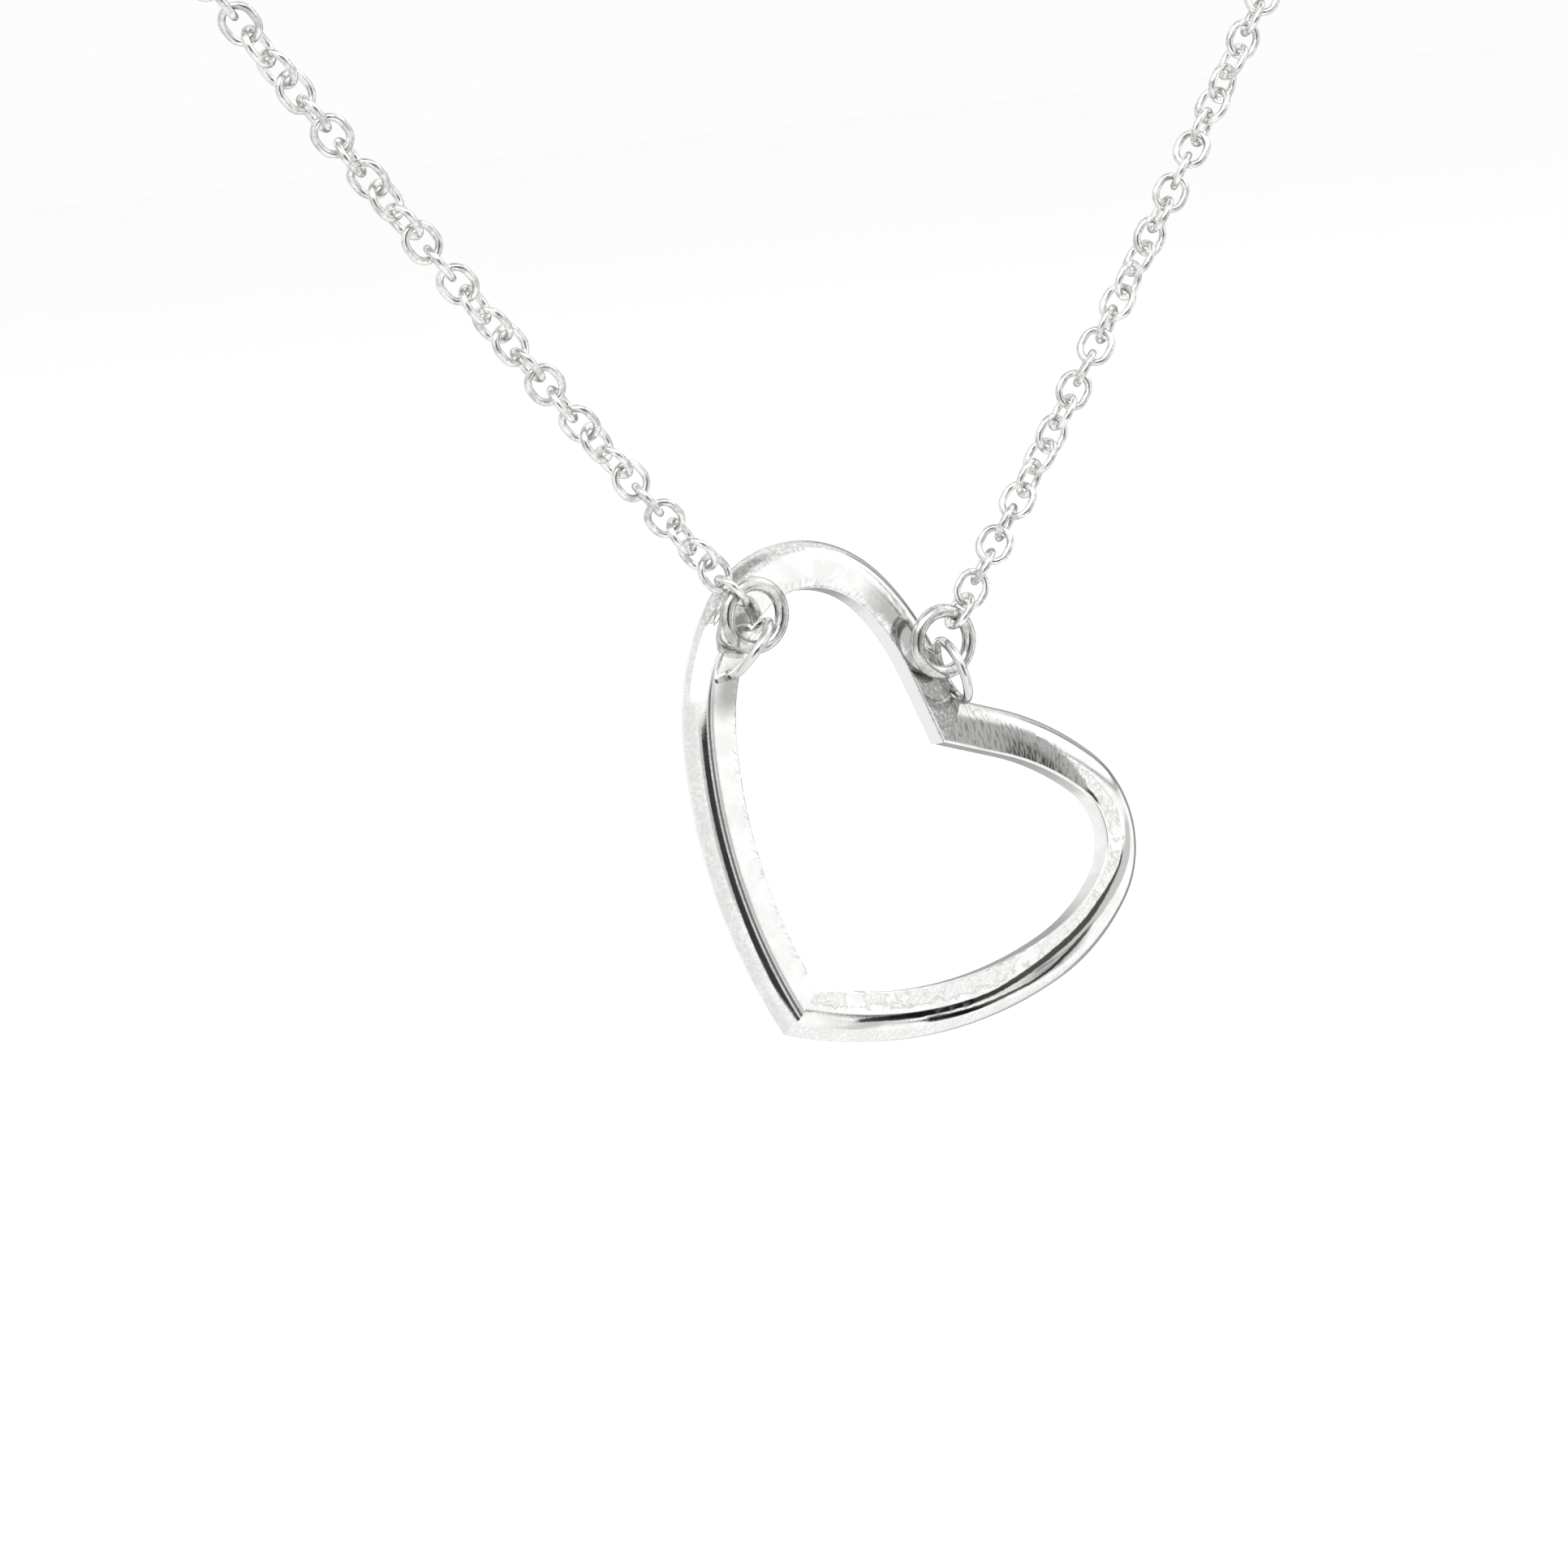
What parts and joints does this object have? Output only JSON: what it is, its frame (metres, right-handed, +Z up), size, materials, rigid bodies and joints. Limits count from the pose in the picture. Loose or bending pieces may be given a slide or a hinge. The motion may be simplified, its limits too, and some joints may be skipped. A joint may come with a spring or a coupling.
{
  "type": "heart pendant necklace",
  "caption": "Silver necklace with an open heart hung sideways from both ends of its fine oval-link chain.",
  "frame": {"origin": "middle of the clasp, where the necklace rests on the nape of the neck", "axes": "+Z up, front of the necklace towards -Y, wearer's shoulders along X"},
  "size_m": [0.1192, 0.0808, 0.1007],
  "materials": {
    "heart_silver": "polished sterling silver with fine tool marks",
    "ring_silver": "polished sterling silver wire",
    "chain_silver": "polished sterling silver wire",
    "clasp_silver": "polished sterling silver wire"
  },
  "bodies": {
    "strands": {"chain_left": "chain_silver", "chain_right": "chain_silver", "clasp": "clasp_silver"},
    "pendant": {"heart": "heart_silver", "ring_left": "ring_silver", "ring_right": "ring_silver"}
  },
  "joints": [
    {"name": "pendant_swing", "type": "hinge", "parent": "strands", "child": "pendant", "pos_m": [-0.00151, -0.0766, -0.07118], "axis": [0.9721, 0, -0.2347], "range_deg": [-30, 30]}
  ]
}
